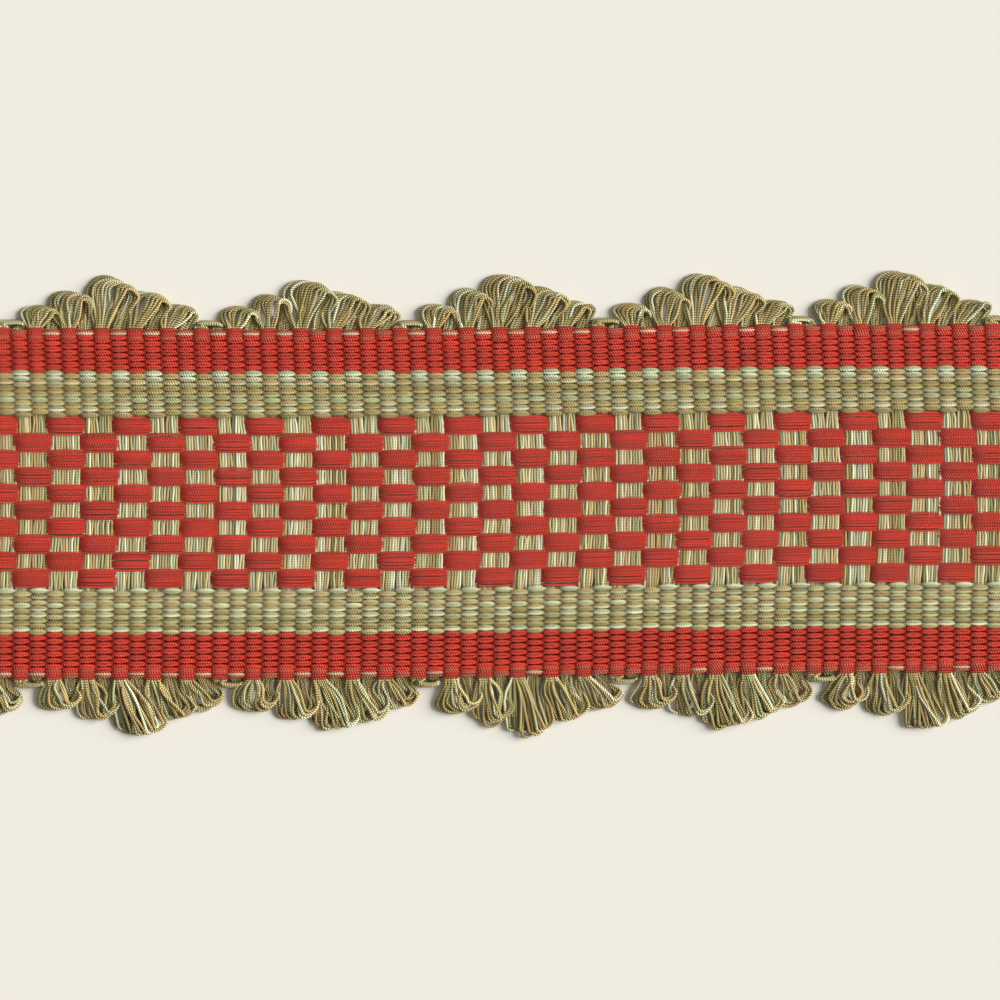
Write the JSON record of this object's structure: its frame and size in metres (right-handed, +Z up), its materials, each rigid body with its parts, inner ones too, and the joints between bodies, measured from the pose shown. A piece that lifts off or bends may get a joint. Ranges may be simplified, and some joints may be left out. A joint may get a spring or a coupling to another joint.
{
  "type": "braid trim with looped fan-edge fringe",
  "caption": "Flat length of woven furnishing braid, ribbed along both sides and chequered in the middle, with a scalloped fringe of yarn loops on each edge.",
  "frame": {"origin": "middle of the flat underside, halfway along the length and across the full width with the fringes", "axes": "+X along the length of the braid, +Y across its width towards the shorter fringe, +Z up out of its face"},
  "size_m": [0.16, 0.0702, 0.0023],
  "materials": {
    "woven_yarn": "two-ply cotton warps in brick red and sage green over a tan, olive and aqua weft",
    "fringe_yarn": "two-ply cotton weft loops in tan, olive and pale aqua"
  },
  "bodies": {
    "root": {"woven_ground": "woven_yarn", "fan_edge_upper": "fringe_yarn", "fan_edge_lower": "fringe_yarn"}
  },
  "joints": []
}
